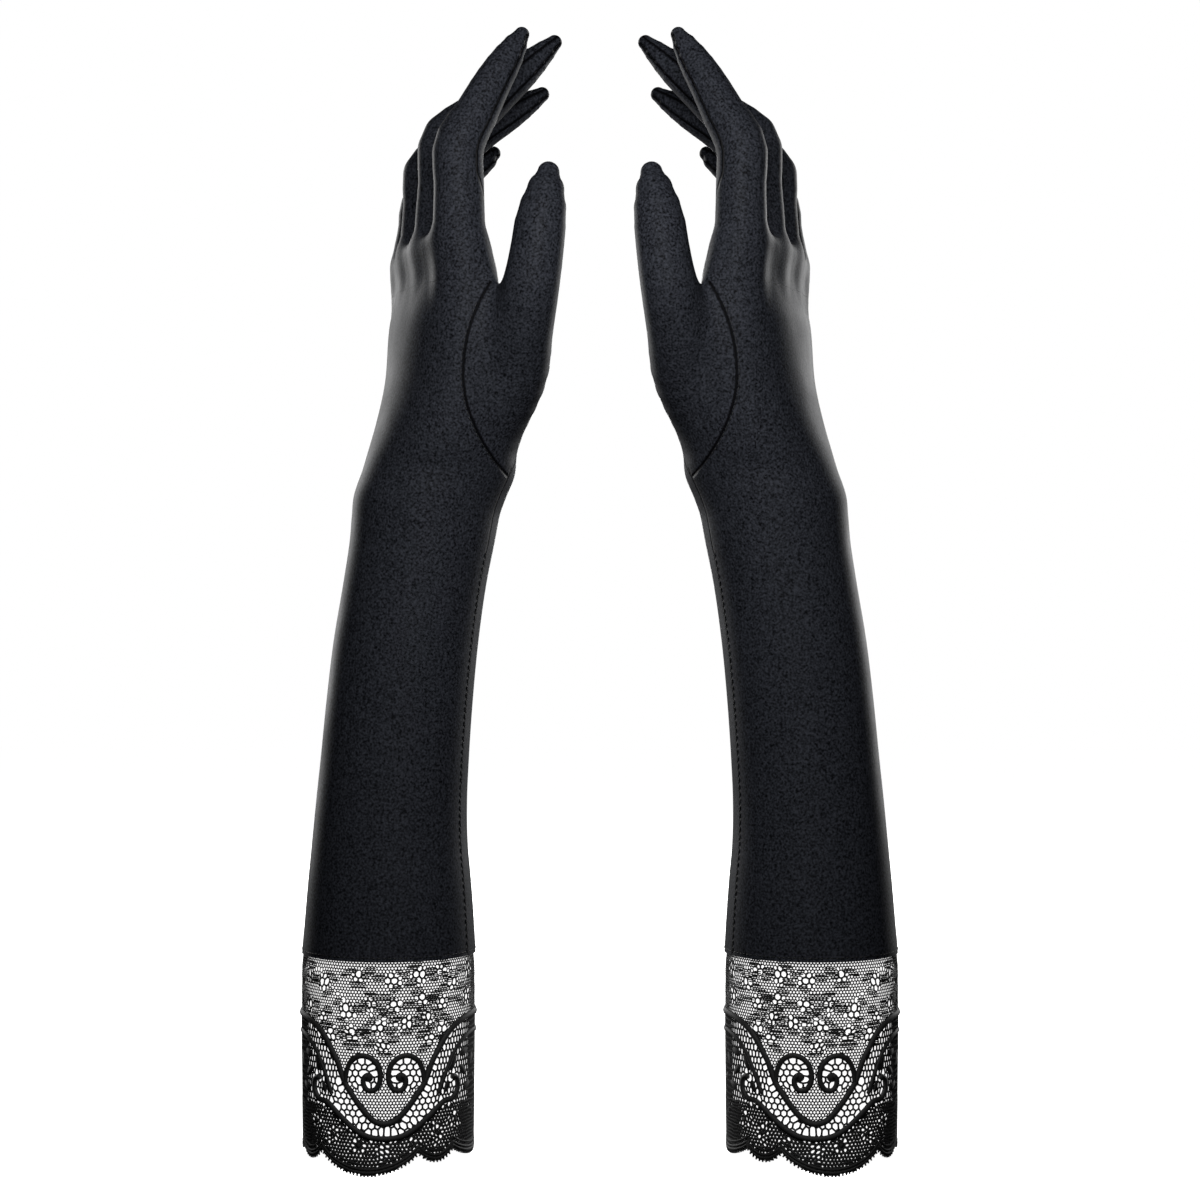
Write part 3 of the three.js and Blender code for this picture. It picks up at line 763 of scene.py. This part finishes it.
def node(tree, kind, links=(), **settings):
    """Adds a node, sets its sockets and properties, and links its inputs."""
    made = tree.nodes.new(kind)
    for key, value in settings.items():
        if hasattr(made, key) and key not in made.inputs:
            setattr(made, key, value)
        else:
            made.inputs[int(key[1:]) if key[0] == "_" else key.replace("_", " ")].default_value = value
    for key, source in dict(links).items():
        tree.links.new(source, made.inputs[key])
    return made


def new_material(name):
    """An empty node material and its tree."""
    material = bpy.data.materials.new(name)
    material.use_nodes = True
    tree = material.node_tree
    tree.nodes.clear()
    return material, tree


def scale_for(size):
    """The noise scale that makes a pattern of the given size in millimetres."""
    return 1 / (size * MM)


# Knit grain of about 0.2 mm on the real cloth, drawn coarser so that it shows.
SATIN_GRAIN = 0.909
SATIN_CLOUD = 22.2      # slow changes of gloss over the cloth
SEAM_GROOVE = 0.9       # half the width of the painted shade line in the groove at a seam
THREAD_TWIST = 1 / 3
LACE_TWIST = 0.4


def stretch_satin():
    """Polyamide and elastane satin, worn matt side out: soft grain, and painted shade along the groove
    at each seam.
    """
    material, tree = new_material("stretch_satin")
    place = node(tree, "ShaderNodeTexCoord").outputs["Object"]
    grain = node(tree, "ShaderNodeTexNoise", {"Vector": place}, Scale=scale_for(SATIN_GRAIN), Detail=2.0)
    cloud = node(tree, "ShaderNodeTexNoise", {"Vector": place}, Scale=scale_for(SATIN_CLOUD), Detail=3.0)
    shade = node(tree, "ShaderNodeMapRange", {"Value": grain.outputs["Fac"]},
                 _1=0.3, _2=0.7, _3=0.0, _4=1.0)
    long_mark = node(tree, "ShaderNodeAttribute", attribute_name="long_seam")
    oval_mark = node(tree, "ShaderNodeAttribute", attribute_name="thumb_seam")
    long_gap = node(tree, "ShaderNodeMath", {0: long_mark.outputs["Fac"]}, operation="ABSOLUTE")
    oval_gap = node(tree, "ShaderNodeMath", {0: oval_mark.outputs["Fac"]}, operation="ABSOLUTE")
    gap = node(tree, "ShaderNodeMath", {0: long_gap.outputs[0], 1: oval_gap.outputs[0]},
               operation="MINIMUM")
    groove = node(tree, "ShaderNodeMapRange", {"Value": gap.outputs[0]},
                  interpolation_type="SMOOTHSTEP", _1=0.1, _2=SEAM_GROOVE, _3=0.0, _4=1.0)
    colour = node(tree, "ShaderNodeMix", {"Factor": shade.outputs[0]}, data_type="RGBA")
    colour.inputs["A"].default_value = srgb("#050608")
    colour.inputs["B"].default_value = srgb("#2e3036")
    # Painted shade: near a seam the colour darkens to near black (#050506), standing in for the shade
    # that falls in the seam's groove.
    seam_groove_shade = node(tree, "ShaderNodeMix", {"Factor": groove.outputs[0], "B": colour.outputs["Result"]},
                data_type="RGBA")
    seam_groove_shade.inputs["A"].default_value = srgb("#050506")
    seam_bump = node(tree, "ShaderNodeBump", {"Height": groove.outputs[0]},
                     Strength=0.9, Distance=0.0005)
    grain_bump = node(tree, "ShaderNodeBump",
                      {"Height": grain.outputs["Fac"], "Normal": seam_bump.outputs["Normal"]},
                      Strength=0.35, Distance=0.0002)
    rough = node(tree, "ShaderNodeMapRange", {"Value": cloud.outputs["Fac"]},
                 _1=0.3, _2=0.7, _3=0.5, _4=0.6)
    cloth = node(tree, "ShaderNodeBsdfPrincipled",
                 {"Base Color": seam_groove_shade.outputs["Result"], "Normal": grain_bump.outputs["Normal"],
                  "Roughness": rough.outputs[0]})
    cloth.inputs["IOR"].default_value = 1.45
    cloth.inputs["Specular IOR Level"].default_value = 0.03
    node(tree, "ShaderNodeOutputMaterial", {"Surface": cloth.outputs[0]})
    return material


def spun_thread(name, code, roughness, twist):
    """Dull black thread: one dark colour, roughened by the twist of its fibres."""
    material, tree = new_material(name)
    cloth = node(tree, "ShaderNodeBsdfPrincipled", Roughness=roughness)
    cloth.inputs["Base Color"].default_value = srgb(code)
    place = node(tree, "ShaderNodeTexCoord").outputs["Object"]
    fibres = node(tree, "ShaderNodeTexNoise", {"Vector": place}, Scale=scale_for(twist))
    bump = node(tree, "ShaderNodeBump", {"Height": fibres.outputs["Fac"]},
                Strength=0.4, Distance=0.0001)
    tree.links.new(bump.outputs["Normal"], cloth.inputs["Normal"])
    node(tree, "ShaderNodeOutputMaterial", {"Surface": cloth.outputs[0]})
    return material


SATIN = stretch_satin()
THREAD = spun_thread("polyester_thread", "#0b0b0d", 0.6, THREAD_TWIST)
LACE = spun_thread("galloon_lace", "#060607", 0.75, LACE_TWIST)


def white_card():
    """Matt white card that also glows, so that it stays white under any light."""
    material, tree = new_material("white_card")
    card = node(tree, "ShaderNodeBsdfPrincipled", Roughness=0.9)
    card.inputs["Base Color"].default_value = srgb("#d8d8d8")
    card.inputs["Specular IOR Level"].default_value = 0.0
    card.inputs["Emission Color"].default_value = (1, 1, 1, 1)
    card.inputs["Emission Strength"].default_value = 1.0
    node(tree, "ShaderNodeOutputMaterial", {"Surface": card.outputs[0]})
    return material


CARD = white_card()

# ---------------------------------------------------------------- gloves
skin = knit_skin()
points, directions, faces = skin
points[:, 2] = np.maximum(points[:, 2], HEM_HEIGHT)
middle = points[faces].mean(axis=1)
nearest = np.argmin([finger(middle, name) for name in FINGERS], axis=0)
webs = np.array([FINGER_BONES[name][3] + WEB_RISE for name in FINGERS])[nearest]
knuckles = np.array([joint_place(f"left_{name}_knuckle")[2] for name in FINGERS])[nearest]
bends = np.array([joint_place(f"left_{name}_middle_joint")[2] for name in FINGERS])[nearest]
on_thumb = np.where(middle[:, 2] < OVAL_TOP, thumb_seam(middle) > 0,
                    thumb(middle) < np.minimum(palm_with_top(middle),
                                               finger(middle, "index")))
on_sleeve = (middle[:, 2] < WRIST_CUT) & (middle[:, 2] > HEM_HEIGHT + 0.05)
below = middle[:, 2] <= HEM_HEIGHT + 0.05
in_finger = ~on_thumb & (middle[:, 2] > webs)
cuts = knuckles + STALL_CUT * (bends - knuckles) + 1.0
on_far = in_finger & (middle[:, 2] > cuts)
on_near = in_finger & ~on_far
on_hand = ~(on_sleeve | below | on_thumb | in_finger)
on_thumb &= ~on_sleeve & ~below

oval_marks = thumb_seam(points)
no_marks = np.full(len(points), NO_SEAM)
arm_marks = {"long_seam": side_seam(points), "thumb_seam": oval_marks}
index_seam = finger_seam(points, "index")
below_index = np.maximum(FINGER_BONES["index"][3] - 4 - points[:, 2], 0)
index_seam = np.clip(index_seam + np.sign(index_seam) * below_index, -NO_SEAM, NO_SEAM)
hand_marks = {"long_seam": index_seam, "thumb_seam": oval_marks}
thumb_marks = {"long_seam": no_marks, "thumb_seam": oval_marks}


def stitch_row(places, out, length=2.3, gap=0.5, radius=0.2):
    """A row of sewn stitches along a run of places on the skin."""
    along = np.concatenate([[0], np.cumsum(np.linalg.norm(np.diff(places, axis=0), axis=1))])
    at = np.arange(0, along[-1] - length, length + gap)
    parts = []
    for share, height_a, height_b in ((0.0, -0.15, 0.12), (0.25, 0.12, 0.18),
                                      (0.5, 0.18, 0.12), (0.75, 0.12, -0.15)):
        ends = []
        for offset, height in ((share, height_a), (share + 0.25, height_b)):
            where = at + offset * length
            place = np.column_stack([np.interp(where, along, places[:, i]) for i in range(3)])
            way = np.column_stack([np.interp(where, along, out[:, i]) for i in range(3)])
            ends.append(place + way * height)
        parts.append(tubes(ends[0], ends[1], way, np.full(len(at), radius), 5))
    return gather(parts)


def hem_stitches():
    """The row that holds the satin hem on the lace."""
    turns = np.radians(np.arange(0, 360, 1.0))
    out = np.column_stack([np.sin(turns), -np.cos(turns), np.zeros(len(turns))])
    centre = np.array([-84.4, WRIST[1], HEM_HEIGHT + 1.6])
    return stitch_row(centre + 34.45 * out, out, 1.6, 0.5)


def side_stitches():
    """The row along the side seam of the arm."""
    heights = np.arange(HEM_HEIGHT + 1, SIDE_SEAM_TOP - 30, 1.5)
    rows = through(ARM_AND_PALM, heights)
    turn = math.radians(SIDE_SEAM_TURN)
    out = np.tile([math.sin(turn), -math.cos(turn), 0.0], (len(heights), 1))
    places = np.column_stack([rows[:, 0], rows[:, 1], heights]) + out * rows[:, 2:3]
    return stitch_row(places, out)


def oval_stitches():
    """The row beside the oval seam, found on the skin between front and middle."""
    heights = np.arange(WRIST_CUT + 1, OVAL_TOP - 4, 1.2)
    places = np.column_stack([oval_edge(heights) - 0.9, np.full(len(heights), -60.0), heights])
    low, high = places.copy(), places.copy()
    high[:, 1] = 0.0
    for _ in range(24):
        middle_place = (low + high) / 2
        outside = (hand_skin(middle_place) > 0)[:, None]
        low, high = np.where(outside, middle_place, low), np.where(outside, high, middle_place)
    out = slope(high)
    return stitch_row(high, out / np.linalg.norm(out, axis=1)[:, None], 1.9, 0.5, 0.17)


LACE_PARTS = [lace_repeat(0.0), lace_repeat(REPEAT)]
STITCH_ROWS = {"hem": (hem_stitches(), "arm"), "side": (side_stitches(), "arm"),
               "thumb": (oval_stitches(), "palm")}


def thread_piece(side, name, part, body, node_name, material):
    """A piece made of threads, for the left or the right glove."""
    place, thread_faces = part
    if side == "right":
        place, thread_faces = mirrored(place), thread_faces[:, ::-1]
    piece = new_piece(f"{side}_{name}", place, thread_faces, material)
    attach(piece, f"{side}_{body}")
    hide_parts(f"{side}_{node_name}")
    return piece


for side in ("left", "right"):
    for half_name, (net, cords) in zip(("front", "back"), LACE_PARTS):
        cord_work = thread_piece(side, f"lace_cords_{half_name}", cords, "arm", "lace_cuff",
                                 LACE)
        lace = thread_piece(side, f"lace_net_{half_name}", net, "arm", "lace_cuff", LACE)
    for seam, (row, body) in STITCH_ROWS.items():
        thread_piece(side, f"{seam}_stitches", row, body, f"{seam}_thread", THREAD)
    sleeve = cut_panel(side, "sleeve_satin", skin, on_sleeve, arm_marks, SATIN)
    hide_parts(f"{side}_arm_sleeve")
    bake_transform(sleeve)
    hand = cut_panel(side, "hand_satin", skin, on_hand, hand_marks, SATIN)
    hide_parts(f"{side}_hand", *[f"{side}_{pair}_fourchette" for pair in
                                        ("index_middle", "middle_ring", "ring_little")])
    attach(hand, f"{side}_palm")
    thumb_piece = cut_panel(side, "thumb_satin", skin, on_thumb, thumb_marks, SATIN)
    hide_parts(f"{side}_thumb")
    reach = np.array(THUMB[3][0]) - THUMB_ROOT
    reach /= np.linalg.norm(reach)
    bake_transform(thumb_piece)
    for number, name in enumerate(FINGERS):
        marks = {"long_seam": finger_seam(points, name), "thumb_seam": no_marks}
        near = cut_panel(side, f"{name}_near_satin", skin,
                         on_near & (nearest == number), marks, SATIN)
        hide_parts(f"{side}_{name}_base")
        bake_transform(near)
        far = cut_panel(side, f"{name}_far_satin", skin,
                        on_far & (nearest == number), marks, SATIN)
        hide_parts(f"{side}_{name}_tip")
        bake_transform(far)

# ---------------------------------------------------------------- stage
FLOOR_HALF = 3000.0
floor_corners = [(x * FLOOR_HALF, y * FLOOR_HALF, -1.0) for x, y in ((-1, -1), (1, -1), (1, 1), (-1, 1))]
floor = new_piece("floor", np.array(floor_corners), [(0, 1, 2, 3)], CARD)
floor.visible_diffuse = floor.visible_glossy = False


def display_form(centre_x):
    """The white card tube that the lace is shown on."""
    turns = np.arange(64) * math.tau / 64
    rings = []
    for height, radius in ((2.0, 31.0), (2.0, 32.8), (20.0, 33.0), (78.0, 33.0), (84.0, 31.0)):
        rings.append(np.column_stack([centre_x + radius * np.sin(turns),
                                      WRIST[1] - radius * np.cos(turns),
                                      np.full(len(turns), height)]))
    here = np.arange(64)
    there = (here + 1) % 64
    form_faces = np.vstack([np.column_stack([here + row, there + row, there + row + 64,
                                             here + row + 64]) for row in range(0, 256, 64)])
    name = "left_display_form" if centre_x < 0 else "right_display_form"
    new_piece(name, np.vstack(rings), form_faces, CARD)


display_form(CUFF_CENTRE[0])
display_form(-CUFF_CENTRE[0])


def soft_light(name, place, target, width, height, power):
    """A softbox: its place and target in metres, its size, and its power in watts."""
    lamp = bpy.data.lights.new(name, "AREA")
    lamp.shape = "RECTANGLE"
    lamp.size, lamp.size_y, lamp.energy = width, height, power
    light = bpy.data.objects.new(name, lamp)
    light.location = place
    aim = Vector(target) - Vector(place)
    light.rotation_euler = aim.to_track_quat("-Z", "Y").to_euler()
    light.visible_camera = False
    bpy.context.scene.collection.objects.link(light)


# The key light stands between the gloves and leaves their outer sides dark. The lights
# behind show the backs without reaching the fronts.
soft_light("key_softbox", (0.0, -0.36, 0.44), (0, 0, 0.4), 0.2, 0.3, 2.15)
soft_light("front_fill", (0.0, -1.3, 0.5), (0, 0, 0.25), 1.2, 1.2, 1.2)
soft_light("back_softbox", (0.0, 1.3, 0.6), (0, 0, 0.25), 0.4, 0.8, 12.0)
soft_light("left_back_softbox", (-0.9, 1.2, 0.5), (0, 0, 0.25), 0.4, 0.8, 16.0)
soft_light("right_back_softbox", (0.9, 1.2, 0.5), (0, 0, 0.25), 0.4, 0.8, 16.0)

world = bpy.data.worlds.new("studio")
world.use_nodes = True
world.node_tree.nodes["Background"].inputs["Color"].default_value = (1, 1, 1, 1)
world.node_tree.nodes["Background"].inputs["Strength"].default_value = 1.0
bpy.context.scene.world = world
world.cycles_visibility.diffuse = world.cycles_visibility.glossy = False
bpy.context.scene.view_settings.view_transform = "Standard"

CAMERA_PLACE = (0.0, -1.0919, 0.2235)
LENS = 82.2
camera = bpy.data.cameras.new("camera")
camera.lens, camera.sensor_width = LENS, 36.0
camera_object = bpy.data.objects.new("camera", camera)
camera_object.location = CAMERA_PLACE
camera_object.rotation_euler = (math.radians(90), 0, 0)
bpy.context.scene.collection.objects.link(camera_object)
bpy.context.scene.camera = camera_object
